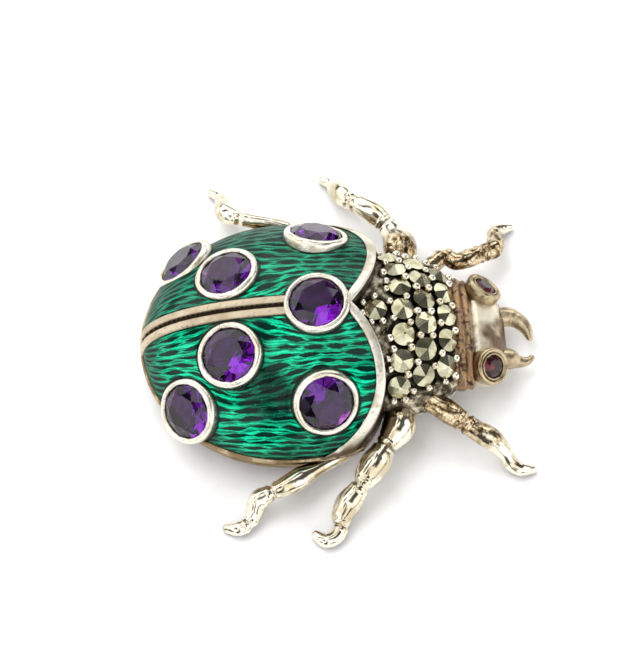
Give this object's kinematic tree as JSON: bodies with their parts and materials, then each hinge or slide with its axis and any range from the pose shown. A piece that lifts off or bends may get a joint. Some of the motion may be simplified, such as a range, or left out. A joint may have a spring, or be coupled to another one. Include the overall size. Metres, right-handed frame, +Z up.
{
  "type": "insect brooch",
  "caption": "Ladybird brooch: domed enamelled wing case with round bezel-set stones, stone-set thorax, bent silver legs and a pin behind.",
  "frame": {"origin": "middle of the box around the brooch, on the surface that its six feet stand on", "axes": "+X to the head, +Y to the beetle's left, +Z up, away from the cloth that the brooch is pinned to"},
  "size_m": [0.0348, 0.037, 0.0111],
  "materials": {
    "silver": "cast silver, polished on legs, rims and grains, oxidised dark on thorax and neck",
    "case_silver": "light polished silver on rims and bezels, worn pinkish matte on the twin rails",
    "green_enamel": "glossy translucent emerald enamel over engraved lengthwise strokes",
    "amethyst": "deep purple cut stone, polished facets",
    "marcasite": "olive-grey metallic stone cut to a low pyramid",
    "eye_stone": "dark red-purple cut stone",
    "pin_silver": "drawn silver wire, plain"
  },
  "bodies": {
    "root": {"silver_body": "silver", "wing_case": "case_silver", "enamel_left": "green_enamel", "enamel_right": "green_enamel", "amethyst_centre": "amethyst", "amethyst_front_left": "amethyst", "amethyst_front_right": "amethyst", "amethyst_mid_left": "amethyst", "amethyst_mid_right": "amethyst", "amethyst_rear_left": "amethyst", "amethyst_rear_right": "amethyst", "thorax_stones": "marcasite", "eye_stone_left": "eye_stone", "eye_stone_right": "eye_stone", "brooch_pin": "pin_silver"}
  },
  "joints": []
}
